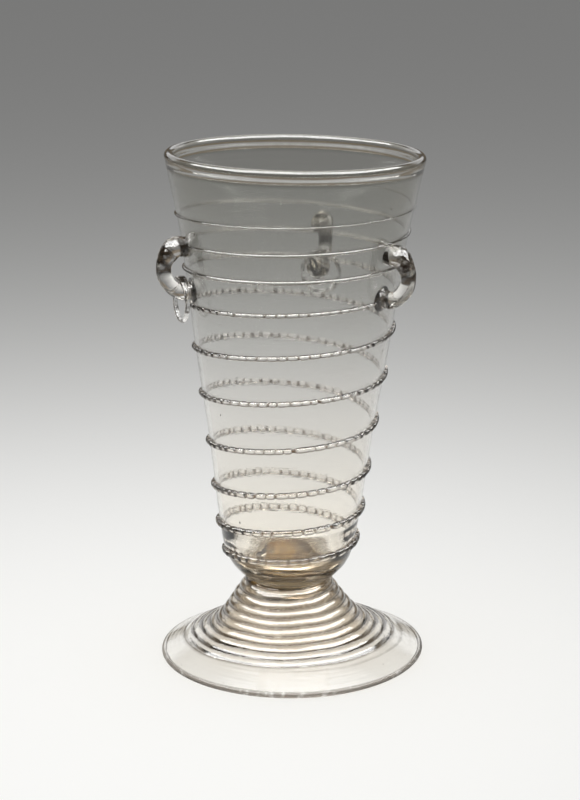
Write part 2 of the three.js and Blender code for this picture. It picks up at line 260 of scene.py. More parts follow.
# Relief of hand-worked glass: the sizes are how many fit in a metre
reliefLook = {
    "waveDetail": 2,
    "streakDetail": 4,
    "streakStretch": (0.06, 0.06, 1.0),
    "seedCells": 110,
    "seedless": 0.6,
    "scuffSize": 900,
    "scuffDetail": 3,
    "scuffMarks": (0.66, 0.74),
}


# Shared effect: slow waves, drawn streaks and seeds of hand-worked glass, and fine scuffs
def makeHandWorked():
    group = bpy.data.node_groups.new("handWorkedGlass", "ShaderNodeTree")
    group.interface.new_socket("Vector", in_out="INPUT", socket_type="NodeSocketVector")
    ins = ("Wave Size", "Wave Depth", "Streak Size", "Streak Depth", "Scuffs", "Seed Size", "Seed Depth")
    for side, names in (("INPUT", ins), ("OUTPUT", ("Height", "Scuff"))):
        for name in names:
            group.interface.new_socket(name, in_out=side, socket_type="NodeSocketFloat")
    given = addNode(group, "NodeGroupInput").outputs
    made = addNode(group, "NodeGroupOutput").inputs
    place = given["Vector"]
    wave = noiseNode(group, place, given["Wave Size"], reliefLook["waveDetail"])
    # streaks run round the glass, so the noise is squeezed along Z
    squeezed = vectorNode(group, "MULTIPLY", place, reliefLook["streakStretch"])
    streak = noiseNode(group, squeezed, given["Streak Size"], reliefLook["streakDetail"])
    waves = product(group, wave, given["Wave Depth"])
    height = mathNode(group, "MULTIPLY_ADD", streak, given["Streak Depth"], waves)
    # seeds are small bubbles, in some of the cells that space is split into
    cells = {"Vector": place, "Scale": reliefLook["seedCells"]}
    cells = addNode(group, "ShaderNodeTexVoronoi", cells).outputs
    bubble = softStep(group, cells["Distance"], given["Seed Size"], 0.0)
    pick = addNode(group, "ShaderNodeSeparateColor", [cells["Color"]]).outputs[0]
    picked = mathNode(group, "GREATER_THAN", pick, reliefLook["seedless"])
    bubble = product(group, bubble, picked)
    height = mathNode(group, "MULTIPLY_ADD", bubble, given["Seed Depth"], height)
    group.links.new(height, made["Height"])
    fine = noiseNode(group, place, reliefLook["scuffSize"], reliefLook["scuffDetail"])
    marks = softStep(group, fine, *reliefLook["scuffMarks"])
    group.links.new(product(group, marks, given["Scuffs"]), made["Scuff"])
    return group


handWorked = makeHandWorked()


def makeGlass(name, waveSize, waveDepth, streakSize=500, streakDepth=0.0, scuffs=0.0, seedSize=0.01,
              seedDepth=0.0, shades=(), lines=None, wound=False):
    material = bpy.data.materials.new(name)
    material.use_nodes = True
    tree = material.node_tree
    shader = tree.nodes["Principled BSDF"]
    shader.inputs["Transmission Weight"].default_value = 1
    shader.inputs["IOR"].default_value = glassLook["ior"]
    place = addNode(tree, "ShaderNodeTexCoord").outputs["Object"]
    axes = split(tree, place)
    run = place
    if wound:
        # streaks run round the axis over a flat brim too
        flat = combine(tree, axes[0], axes[1], 0.0)
        far = mathNode(tree, "SUBTRACT", vectorNode(tree, "LENGTH", flat), axes[2])
        run = combine(tree, axes[0], axes[1], far)
    values = [run, waveSize, waveDepth, streakSize, streakDepth, scuffs, seedSize, seedDepth]
    worked = addNode(tree, "ShaderNodeGroup", values, node_tree=handWorked).outputs
    bump = addNode(tree, "ShaderNodeBump", {"Distance": mm, "Height": worked["Height"]})
    tree.links.new(bump.outputs["Normal"], shader.inputs["Normal"])
    rough = worked["Scuff"]
    soak = {"Color": (*glassLook["absorbColour"], 1), "Density": glassLook["absorbDensity"]}
    soak = addNode(tree, "ShaderNodeVolumeAbsorption", soak)
    taken, tinted = (*glassLook["shadow"], 1), (*glassLook["clear"], 1)
    for shade in shades:
        # over a range of heights the glass is tinted and casts a darker shadow: thick glass's own colour, and
        # painted shade
        thickAndShade = softStep(tree, axes[2], *(value * mm for value in shade["heights"]))
        taken = mixColour(tree, thickAndShade, taken, (*shade["shadow"], 1))
        tinted = mixColour(tree, thickAndShade, tinted, (*shade["colour"], 1))
    if lines:
        # dark lines and blotches that the mesh marks, mottled along their run: painted shade, and on the
        # bowl's lip also thick glass
        mark = addNode(tree, "ShaderNodeAttribute", attribute_name="thickAndShade").outputs["Fac"]
        mottle = noiseNode(tree, place, lines["mottle"], glassLook["mottleDetail"])
        mark = product(tree, mark, softStep(tree, mottle, *glassLook["mottleMarks"]))
        if lines.get("outside"):
            # only for what is seen from outside the glass
            inside = addNode(tree, "ShaderNodeNewGeometry").outputs["Backfacing"]
            mark = product(tree, mark, mathNode(tree, "SUBTRACT", 1.0, inside))
        tinted = mixColour(tree, mark, tinted, (*lines["colour"], 1))
        if lines.get("wear"):
            wornShadedEdge = addNode(tree, "ShaderNodeAttribute", attribute_name="wornShadedEdge").outputs["Fac"]
            rough = mathNode(tree, "MAXIMUM", rough, product(tree, wornShadedEdge, lines["wear"]))
    plug(tree, tinted, shader.inputs["Base Color"])
    tree.links.new(rough, shader.inputs["Roughness"])
    # light on its way from the lamps to the floor goes straight through
    thin = addNode(tree, "ShaderNodeBsdfTransparent", [taken])
    path = addNode(tree, "ShaderNodeLightPath").outputs
    lampSide = mathNode(tree, "MAXIMUM", path["Is Shadow Ray"], path["Is Diffuse Ray"])
    both = addNode(tree, "ShaderNodeMixShader", [lampSide, shader.outputs[0], thin.outputs[0]])
    out = tree.nodes["Material Output"]
    tree.links.new(both.outputs[0], out.inputs["Surface"])
    tree.links.new(soak.outputs[0], out.inputs["Volume"])
    return material


# the bowl is a little beige towards its base; towards its mouth it is tinted grey, a painted shade where the
# wall mirrors the dark room
bowlShades = [
    {"heights": (150, 40), "colour": (0.997, 0.978, 0.94), "shadow": (0.99, 0.985, 0.97)},
    {"heights": (105, 200), "colour": (0.77, 0.775, 0.75), "shadow": (0.99, 0.985, 0.975)},
]
# the foot's cone is browner above its brim, partly its thick wound glass, partly painted shade where the
# shaded floor shows through; the wad is brown as thick glass
footShade = {"heights": (7, 15), "colour": (0.81, 0.74, 0.645), "shadow": (0.95, 0.93, 0.9)}
wadShade = {"heights": (10, 20), "colour": (0.42, 0.31, 0.15), "shadow": (0.6, 0.5, 0.36)}
# colours of the marked lines: painted shade in the foot's grooves and edge, the thread's edges and pinches,
# and the handles' and rings' creases and blotches; on the bowl, painted shade at its base and floor, and its
# thick lip
bowlLines = {"colour": (0.04, 0.027, 0.011), "mottle": 60, "outside": True}
threadLines = {"colour": (0.2, 0.12, 0.055), "mottle": 300}
footLines = {"colour": (0.055, 0.032, 0.013), "mottle": 260, "wear": 0.4}
handleLines = {"colour": (0.02, 0.012, 0.007), "mottle": 330}
bowlGlass = makeGlass("bowlGlass", waveSize=45, waveDepth=0.05, streakSize=700, streakDepth=0.035,
                      seedSize=0.06, seedDepth=0.25, shades=bowlShades, lines=bowlLines)
threadGlass = makeGlass("threadGlass", waveSize=300, waveDepth=0.05, lines=threadLines)
footGlass = makeGlass("footGlass", waveSize=90, waveDepth=0.14, streakSize=420, streakDepth=0.1, scuffs=0.12,
                      seedSize=0.05, seedDepth=0.2, shades=[footShade], lines=footLines, wound=True)
wadGlass = makeGlass("wadGlass", waveSize=150, waveDepth=0.2, shades=[wadShade])
handleGlass = makeGlass("handleGlass", waveSize=220, waveDepth=0.2, lines=handleLines)
ringGlass = makeGlass("ringGlass", waveSize=300, waveDepth=0.1, lines=handleLines)
print("glass made")


# A centripetal Catmull-Rom line through points, then points a step apart along it
def smoothLine(points, step):
    p = np.array(points, float)
    p = np.vstack([2 * p[0] - p[1], p, 2 * p[-1] - p[-2]])
    line = [p[1]]
    for a, b, c, d in zip(p[:-3], p[1:-2], p[2:-1], p[3:]):
        ta = np.linalg.norm(b - a) ** 0.5
        tb = ta + np.linalg.norm(c - b) ** 0.5
        tc = tb + np.linalg.norm(d - c) ** 0.5
        for t in np.linspace(ta, tb, curveSamples)[1:]:
            ab = a + (b - a) * t / ta
            bc = b + (c - b) * (t - ta) / (tb - ta)
            cd = c + (d - c) * (t - tb) / (tc - tb)
            abc = ab + (bc - ab) * t / tb
            bcd = bc + (cd - bc) * (t - ta) / (tc - ta)
            line.append(abc + (bcd - abc) * (t - ta) / (tb - ta))
    return evenLine(line, step)


def evenLine(line, step):
    line = np.array(line)
    lengths = np.r_[0, np.cumsum(np.linalg.norm(np.diff(line, axis=0), axis=1))]
    count = max(2, round(lengths[-1] / step) + 1)
    at = np.linspace(0, lengths[-1], count)
    return np.stack([np.interp(at, lengths, line[:, k]) for k in range(line.shape[1])], 1)


def arcLine(middle, radius, start, end, steps):
    turns = np.radians(np.linspace(start, end, steps + 1))
    return np.stack([middle[0] + radius * np.cos(turns), middle[1] + radius * np.sin(turns)], 1)


def makePiece(name, points, faces, matrix=Matrix.Identity(4)):
    mesh = bpy.data.meshes.new(name)
    turn = np.array(matrix)
    placed = (np.asarray(points) @ turn[:3, :3].T + turn[:3, 3]) * mm
    mesh.from_pydata(placed.tolist(), [], faces)
    mesh.polygons.foreach_set("use_smooth", [True] * len(mesh.polygons))
    mesh.validate()
    piece = bpy.data.objects.new(name, mesh)
    bpy.context.scene.collection.objects.link(piece)
    return piece


# Turns an outline of (radius, height) round Z; it starts and ends on the axis, or closes on itself
def revolve(outline, segments, shape=None):
    closed = outline[0][0] > 0
    rows = np.array(outline, float)
    body = rows if closed else rows[1:-1]
    azimuth = np.linspace(0, fullTurn, segments, endpoint=False)[None, :]
    radius = np.repeat(body[:, :1], segments, 1)
    height = np.repeat(body[:, 1:2], segments, 1)
    if shape:
        radius, height = shape(radius, height, azimuth)
    points = np.stack([radius * np.cos(azimuth), radius * np.sin(azimuth), height], 2).reshape(-1, 3)
    here = np.arange(len(body) * segments).reshape(len(body), segments)
    after = np.roll(here, -1, 1)
    if closed:
        upHere, upAfter = np.roll(here, -1, 0), np.roll(after, -1, 0)
        faces = np.stack([here, after, upAfter, upHere], 2).reshape(-1, 4).tolist()
    else:
        faces = np.stack([here[:-1], after[:-1], after[1:], here[1:]], 2).reshape(-1, 4).tolist()
        low, high = len(points), len(points) + 1
        points = np.vstack([points, [0, 0, rows[0][1]], [0, 0, rows[-1][1]]])
        faces += [(low, after[0, j], here[0, j]) for j in range(segments)]
        faces += [(high, here[-1, j], after[-1, j]) for j in range(segments)]
    return points, faces


def markMesh(piece, name, values):
    piece.data.attributes.new(name, "FLOAT", "POINT").data.foreach_set("value", values)


def dress(piece, body, node):
    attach(piece, body)
    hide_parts(node)


# Bowl: its wall, measured up from its own base, and the lean with which it stands on the foot
bowl = {
    "height": 178.7,
    "base": (-1.698, 0.089, 33.282),
    "lean": 0.93,
    "leanAzimuth": -3.0,
    "outline": [
        (17.4, 0), (21.2, 3.6), (24.4, 7.6), (26.9, 13.4), (29.5, 28.6), (31.8, 46.6),
        (34.5, 66.6), (37.7, 86.7), (40.7, 106.7), (43.3, 126.7), (46.2, 146.7), (49.6, 162.7),
        (52.5, 176.8),
    ],
    "wall": 1.45,
    "lip": 1.9,
    "lipBlend": 4.0,
    "lipSteps": 14,
    "inside": [(15.2, 7.3), (19.2, 8.6), (22.3, 11.4), (24.5, 15.6), (26.2, 21.5)],
    "insideBlend": 4,
    "cornerStep": 0.7,
    "kickRadius": 14.6,
    "floorDome": 1.1,
    "kick": 3.2,
    "segments": 208,
    "rowStep": 1.1,
    "wobble": 0.1,
    "wobbleSize": 0.03,
    "wobbleFrom": (6, 25),
    "wobbleTo": 12,
    "bottomBand": (8.8, 6.2),
    "bottomTint": 1.0,
    "floorTint": 0.1,
    "floorEdge": 0.3,
    "ringTint": 0.25,
    "ringWidth": 2.2,
    "lipTint": 0.6,
    "lipTintDepth": 2.9,
}

leanTurn = math.radians(bowl["leanAzimuth"])
leanPlace = Matrix.Translation(bowl["base"]) @ Matrix.Rotation(
    math.radians(bowl["lean"]), 4, Vector((-math.sin(leanTurn), math.cos(leanTurn), 0))
)
wallLine = smoothLine(bowl["outline"], bowl["rowStep"])


def wallRadius(height):
    return np.interp(height, wallLine[:, 1], wallLine[:, 0])


def domeLine(dome, radius, level, steps=14):
    share = np.linspace(0, 1, steps + 1)
    return np.stack([share * radius, level + dome * (1 - share**2)], 1)


def bowlOutline():
    b = bowl
    lipMiddle = (wallLine[-1][0] - b["lip"], wallLine[-1][1])
    lip = arcLine(lipMiddle, b["lip"], 0, 180, b["lipSteps"])
    inner = wallLine[wallLine[:, 1] > b["inside"][-1][1] + b["insideBlend"]][::-1].copy()
    # the wall thickens inward into the lip
    nearLip = np.clip(1 - (wallLine[-1][1] - inner[:, 1]) / b["lipBlend"], 0, 1)
    inner[:, 0] -= b["wall"] + (2 * b["lip"] - b["wall"]) * nearLip**2 * (3 - 2 * nearLip)
    corner = smoothLine([inner[-1]] + b["inside"][::-1], b["cornerStep"])
    floorTop = domeLine(b["floorDome"], *b["inside"][0])[::-1]
    kick = domeLine(b["kick"], b["kickRadius"], 0)
    return np.vstack([kick, wallLine, lip[1:], inner[1:-1], corner[:-1], floorTop])


def handBlown(radius, height, azimuth):
    # slow unevenness of the wall, a little different inside and outside
    size, depth = bowl["wobbleSize"], bowl["wobble"]
    x, y = radius * np.cos(azimuth), radius * np.sin(azimuth)
    flat = zip(x.ravel(), y.ravel(), (height + 0 * x).ravel())
    waves = np.array([noise.noise(Vector(p) * size) for p in flat]).reshape(x.shape)
    low, over = bowl["wobbleFrom"]
    hold = np.clip((height - low) / over, 0, 1) * np.clip((bowl["height"] - height) / bowl["wobbleTo"], 0, 1)
    return radius + depth * waves * hold, height


def thickAndShadedRows(outline):
    # how dark each row looks: painted shade at the base and on the floor of the bowl, and the lip's thick
    # glass with painted shade
    b = bowl
    radius, height = outline[:, 0], outline[:, 1]
    fromWall = wallRadius(height) - radius
    # painted shade in a band at the base, where the bowl meets the foot
    high, low = b["bottomBand"]
    base = b["bottomTint"] * np.clip((high - height) / (high - low), 0, 1) * (fromWall < 1)
    # painted shade: the floor is darker, most in a ring over the edge of the wad, where the wad shows through
    inward = b["inside"][0][0] - radius
    onFloor = (inward > -b["floorEdge"]) * (fromWall >= 1)
    floorTop = (b["floorTint"] + b["ringTint"] * (inward < b["ringWidth"])) * onFloor
    # the lip is darker: partly its thick glass, partly painted shade for the rim's dark ends
    lip = b["lipTint"] * np.clip((height - b["height"] + b["lipTintDepth"]) / b["lip"], 0, 1)
    return np.maximum(np.maximum(base, floorTop), lip)


outline = bowlOutline()
points, faces = revolve(outline, bowl["segments"], handBlown)
bowlPiece = makePiece("bowl_wall", points, faces, leanPlace)
rows = thickAndShadedRows(outline)
markMesh(bowlPiece, "thickAndShade", np.r_[np.repeat(rows[1:-1], bowl["segments"]), rows[0], rows[-1]])
bowlPiece.data.materials.append(bowlGlass)
dress(bowlPiece, glassBody, "bowl")
print("bowl made:", len(faces), "faces")


# Wad: the lump under the bowl that fills the foot's bore and reaches up into the kick
wad = {
    "radius": 15.05,
    "low": 30.3,
    "hollow": 0.7,
    "embed": 0.15,
    "edgeFrom": 1.2,
    "edgeTo": 0.6,
    "steps": 11,
    "segments": 96,
}


def wadPieceMesh():
    w, b = wad, bowl
    top = b["base"][2] + w["embed"]
    under = domeLine(w["hollow"], w["radius"], w["low"], w["steps"])
    edge = [(w["radius"], w["low"] + w["edgeFrom"]), (w["radius"], top - w["edgeTo"])]
    upper = domeLine(b["kick"], b["kickRadius"], top)[::-1]
    return revolve(np.vstack([under, edge, upper]), w["segments"])


points, faces = wadPieceMesh()
points[:, :2] += bowl["base"][:2]
wadPiece = makePiece("neck_lump", points, faces)
wadPiece.data.materials.append(wadGlass)
dress(wadPiece, glassBody, "neck_wad")


# Geometry node helpers
def socketKind(value):
    if isinstance(value, bpy.types.Material):
        return "NodeSocketMaterial"
    return "NodeSocketInt" if isinstance(value, int) else "NodeSocketFloat"


def newTree(name, values):
    # the tree's inputs are named after the values that it is run with
    tree = bpy.data.node_groups.new(name, "GeometryNodeTree")
    tree.interface.new_socket("Geometry", in_out="INPUT", socket_type="NodeSocketGeometry")
    for label, value in values.items():
        tree.interface.new_socket(label, in_out="INPUT", socket_type=socketKind(value))
    tree.interface.new_socket("Geometry", in_out="OUTPUT", socket_type="NodeSocketGeometry")
    return tree, addNode(tree, "NodeGroupInput").outputs, addNode(tree, "NodeGroupOutput")


def runTree(source, tree, values, name):
    # sets the named inputs, evaluates, and keeps the result as a plain mesh
    modifier = source.modifiers.new(tree.name, "NODES")
    modifier.node_group = tree
    sockets = {item.name: item.identifier for item in tree.interface.items_tree if item.in_out == "INPUT"}
    for label, value in values.items():
        modifier[sockets[label]] = value
    depsgraph = bpy.context.evaluated_depsgraph_get()
    mesh = bpy.data.meshes.new_from_object(source.evaluated_get(depsgraph), depsgraph=depsgraph)
    source.modifiers.remove(modifier)
    bpy.data.objects.remove(source)
    mesh.name = name
    piece = bpy.data.objects.new(name, mesh)
    bpy.context.scene.collection.objects.link(piece)
    return piece


def markPoints(tree, geometry, name, value):
    inputs = {0: geometry, "Name": name, "Value": value}
    kind = "GeometryNodeStoreNamedAttribute"
    return addNode(tree, kind, inputs, data_type="FLOAT", domain="POINT").outputs[0]


def closeTree(tree, geometry, made, material):
    smooth = addNode(tree, "GeometryNodeSetShadeSmooth", [geometry])
    real = addNode(tree, "GeometryNodeRealizeInstances", [smooth.outputs[0]])
    coat = addNode(tree, "GeometryNodeSetMaterial", {0: real.outputs[0], "Material": material})
    tree.links.new(coat.outputs[0], made.inputs[0])


# Foot: a cone wound from one thread; the blank is plain and the coil is pressed up by the tree
foot = {
    "cone": [
        (17.3, 32.6), (19.8, 28.9), (22.3, 25.3), (25.2, 21.1), (28.5, 16.9), (32.5, 13.2),
        (37.5, 10.1), (44.0, 7.2), (50.0, 4.4), (53.6, 2.62),
    ],
    "edgeRadius": 1.25,
    "edgeArc": (62, -90, 16),
    "outer": 55.1,
    "bore": 14.9,
    "boreRows": (27.6, 30.0, 32.6),
    "top": 33.0,
    "topInset": (0.35, 0.5),
    "wall": 2.3,
    "underFrom": (1.5, 0.35),
    "restWidth": 0.9,
    "rowStep": 0.17,
    "underStep": 0.42,
    "segments": 230,
    "coilPitch": 4.23,
    "neckTurns": 0.25,
    "coilDepth": 0.7,
    "underShare": 0.3,
    "firstGroove": 4.47,
    "grooveAzimuth": 267,
    "coilEnd": 41.0,
    "noCoil": 999.0,
    "fade": 6.5,
    "crest": 2.5,
    "grooveWidth": 1.8,
    "grooveEnd": -0.2,
    "sway": 2.2,
    "swaySize": 38.0,
    "swayDetail": 1,
    # the edge, which is worn rough and carries painted shade
    "wornShadedEdge": (53.4, 54.4),
    "edgeTint": 0.92,
    "backShift": 3.85,
    "shiftPower": 1.5,
    "shiftMost": 1.3,
    "shiftFrom": 4.4,
    "shiftTo": 27.9,
    "seat": (30.5, 2.0, 0.5),
    "raise": 1.3,
    "raisePowers": (1.5, 2),
}


def footOutline():
    f = foot
    top = smoothLine(f["cone"], f["rowStep"])
    edgeMiddle = (f["outer"] - f["edgeRadius"], f["edgeRadius"])
    edge = arcLine(edgeMiddle, f["edgeRadius"], *f["edgeArc"])
    slope = np.gradient(top[:, 1], top[:, 0])
    down = np.stack([slope, -np.ones(len(slope))], 1) / np.hypot(slope, 1)[:, None]
    under = top + down * f["wall"]
    pastBore, offFloor = f["underFrom"]
    under = under[(under[:, 0] > f["bore"] + pastBore) & (under[:, 1] > offFloor)][::-1]
    under = evenLine(np.vstack([[edgeMiddle[0] - f["restWidth"], 0.0], under]), f["underStep"])
    inner, outer = f["topInset"]
    neck = [(f["bore"], up) for up in f["boreRows"]]
    neck += [(f["bore"] + inner, f["top"]), (f["cone"][0][0] - outer, f["top"])]
    along = np.linspace(0, 1, len(top)) * f["rowStep"] * (len(top) - 1)
    # how far each row lies along the cone, for the coil; the edge and the neck carry none
    underAlong = np.interp(under[:, 0], top[:, 0], along)
    rows = [along, np.full(len(edge), f["noCoil"]), underAlong, np.full(len(neck), f["noCoil"])]
    return np.vstack([top, edge, under, neck])[::-1], np.concatenate(rows)[::-1]


def settleFoot(radius, height, azimuth):
    # the neck's top follows the bowl's leaning base, and the brim is warped
    x, y = radius * np.cos(azimuth), radius * np.sin(azimuth)
    tilt = math.tan(math.radians(bowl["lean"]))
    along = (x - bowl["base"][0]) * math.cos(leanTurn) + (y - bowl["base"][1]) * math.sin(leanTurn)
    low, over, lift = foot["seat"]
    seat = np.clip((height - low) / over, 0, 1) * (lift - tilt * along)
    turned, outward = foot["raisePowers"]
    warp = np.clip(np.cos(azimuth), 0, 1) ** turned * (radius / foot["outer"]) ** outward
    return radius, height + seat + foot["raise"] * warp


def makeFootTree(values):
    tree, given, made = newTree("woundFoot", values)
    place = addNode(tree, "GeometryNodeInputPosition").outputs[0]
    normal = addNode(tree, "GeometryNodeInputNormal").outputs[0]
    axes = split(tree, place)
    run = addNode(tree, "GeometryNodeInputNamedAttribute", ["along"], data_type="FLOAT").outputs[0]
    azimuth = mathNode(tree, "ARCTAN2", axes[1], axes[0])
    turns = mathNode(tree, "DIVIDE", azimuth, fullTurn)
    turns = mathNode(tree, "SUBTRACT", turns, given["Groove Azimuth"])
    # the outer turns lie further back than the inner ones
    share = mathNode(tree, "DIVIDE", run, given["Coil End"])
    share = mathNode(tree, "MINIMUM", share, foot["shiftMost"])
    shift = product(tree, mathNode(tree, "POWER", share, foot["shiftPower"]), given["Back Shift"])
    moved = mathNode(tree, "SUBTRACT", run, product(tree, mathNode(tree, "SINE", azimuth), shift))
    # and no turn is quite even
    uneven = noiseNode(tree, place, given["Sway Size"], foot["swayDetail"])
    sway = mathNode(tree, "SUBTRACT", uneven, 0.5)
    moved = mathNode(tree, "MULTIPLY_ADD", sway, given["Sway"], moved)
    rows = mathNode(tree, "DIVIDE", mathNode(tree, "SUBTRACT", moved, given["First Groove"]), given["Pitch"])
    phase = mathNode(tree, "ADD", rows, turns)
    # each turn is a round back between two narrow grooves
    off = mathNode(tree, "MULTIPLY_ADD", mathNode(tree, "FRACT", phase), 2.0, -1.0)
    off = mathNode(tree, "ABSOLUTE", off)
    ridge = mathNode(tree, "SUBTRACT", 1.0, mathNode(tree, "POWER", off, given["Crest"]))
    outward = mathNode(tree, "SUBTRACT", given["Coil End"], moved)
    outerFade = softStep(tree, outward, 0.0, given["Fade"])
    neckFade = softStep(tree, run, 0.0, product(tree, given["Pitch"], foot["neckTurns"]))
    lift = product(tree, ridge, product(tree, outerFade, neckFade), given["Depth"])
    # the underside faces down and moves with the top, by its own share
    facing = split(tree, normal)[2]
    isUnder = mathNode(tree, "LESS_THAN", facing, 0.0)
    underShare = product(tree, given["Under Share"], -1.0)
    side = mathNode(tree, "MULTIPLY_ADD", isUnder, mathNode(tree, "SUBTRACT", underShare, 1.0), 1.0)
    push = {0: given["Geometry"], "Offset": scaled(tree, normal, product(tree, lift, side))}
    geometry = addNode(tree, "GeometryNodeSetPosition", push).outputs[0]
    # marks painted shade in the grooves and at the foot's edge, where the glass looks dark
    groove = mathNode(tree, "POWER", off, given["Groove Width"])
    inside = softStep(tree, outward, product(tree, given["Fade"], foot["grooveEnd"]), 0.0)
    groove = product(tree, groove, neckFade, inside, mathNode(tree, "GREATER_THAN", facing, 0.0))
    radius = vectorNode(tree, "LENGTH", combine(tree, axes[0], axes[1], 0.0))
    atEdge = softStep(tree, radius, given["Edge From"], given["Edge To"])
    thickAndShade = mathNode(tree, "MAXIMUM", groove, product(tree, atEdge, foot["edgeTint"]))
    for name, value in (("thickAndShade", thickAndShade), ("wornShadedEdge", atEdge)):
        geometry = markPoints(tree, geometry, name, value)
    closeTree(tree, geometry, made, given["Glass"])
    return tree


outline, along = footOutline()
points, faces = revolve(outline, foot["segments"], settleFoot)
# the neck stands aside with the bowl's base
rise = np.clip((points[:, 2] - foot["shiftFrom"]) / (foot["shiftTo"] - foot["shiftFrom"]), 0, 1)
points[:, :2] += np.outer(rise**2 * (3 - 2 * rise), bowl["base"][:2])
blank = makePiece("footBlank", points, faces)
markMesh(blank, "along", np.repeat(along, foot["segments"]) * mm)
footValues = {
    "Pitch": foot["coilPitch"] * mm,
    "Depth": foot["coilDepth"] * mm,
    "Under Share": foot["underShare"],
    "First Groove": foot["firstGroove"] * mm,
    "Groove Azimuth": foot["grooveAzimuth"] / 360,
    "Coil End": foot["coilEnd"] * mm,
    "Fade": foot["fade"] * mm,
    "Crest": foot["crest"],
    "Back Shift": foot["backShift"] * mm,
    "Groove Width": foot["grooveWidth"],
    "Edge From": foot["wornShadedEdge"][0] * mm,
    "Edge To": foot["wornShadedEdge"][1] * mm,
    "Sway": foot["sway"] * mm,
    "Sway Size": foot["swaySize"],
    "Glass": footGlass,
}
footPiece = runTree(blank, makeFootTree(footValues), footValues, "foot_coils")
dress(footPiece, glassBody, "foot")
print("foot made:", len(footPiece.data.polygons), "faces")


# Thread: one trail of glass wound up the wall, pinched at even steps over its lower turns
thread = {
    "startAzimuth": 132,
    "startHeight": 10.7,
    "pitches": [11.4, 15.6, 18.5, 20.7, 19.4, 19.0, 15.0, 10.4, 11.7, 10.0],
    "topDrop": 13,
    "heights": [(0, 3.3), (20, 3.0), (60, 2.6), (100, 2.3), (130, 1.8), (150, 1.2), (166, 0.7)],
    "startGrow": (0.35, 3),
    "endShrink": (0.25, 0.9),
    "evenFrom": 0.5,
    "standout": 0.62,
    "embed": 0.2,
    "stepsPerTurn": 180,
    "step": 0.42,
    "sides": 16,
    "squareness": 2.5,
    "leastSum": 0.001,
    "backSlope": -6.0,
    "wallLean": 0.15,
    "pinchSpacing": 4.2,
    "pinchDepth": 0.5,
    "pinchHeight": 0.3,
    "pinchSharpness": 7.0,
    "pinchSway": 4.5,
    "pinchSwaySize": 140.0,
    "pinchSwayDetail": 2,
    "pinchMean": 0.9,
    "pinchSpread": 2.6,
    "pinchTop": (122, 136),
    "edgeLine": 4.0,
    "edgeTint": 0.8,
}


def threadHeight(turns):
    levels = np.r_[thread["startHeight"], thread["startHeight"] + np.cumsum(thread["pitches"])]
    return np.interp(turns, np.arange(len(levels)), levels)


def threadPath():
    t = thread
    turns = np.arange(0, len(t["pitches"]), 1 / t["stepsPerTurn"])
    # the pitch changes slowly, not at once from turn to turn
    height = threadHeight(turns)
    spread = np.ones(t["stepsPerTurn"] // 2)
    padded = np.r_[np.full(len(spread), height[0]), height, np.full(len(spread), height[-1])]
    softened = np.convolve(padded, spread / len(spread), "same")[len(spread):-len(spread)]
    mid = (turns > t["evenFrom"]) & (turns < turns[-1] - t["evenFrom"])
    height = np.where(mid, softened, height)
    keep = height < bowl["height"] - t["topDrop"]
    turns, height = turns[keep], height[keep]
    tall = np.interp(height, *zip(*t["heights"]))
    (start, grow), (end, shrink) = t["startGrow"], t["endShrink"]
    tall = tall * np.minimum(np.minimum(start + grow * turns, end + shrink * (turns[-1] - turns)), 1)
    middle = wallRadius(height)
    azimuth = fullTurn * (t["startAzimuth"] / 360 + turns)
    points = np.stack([middle * np.cos(azimuth), middle * np.sin(azimuth), height], 1)
    return points, tall


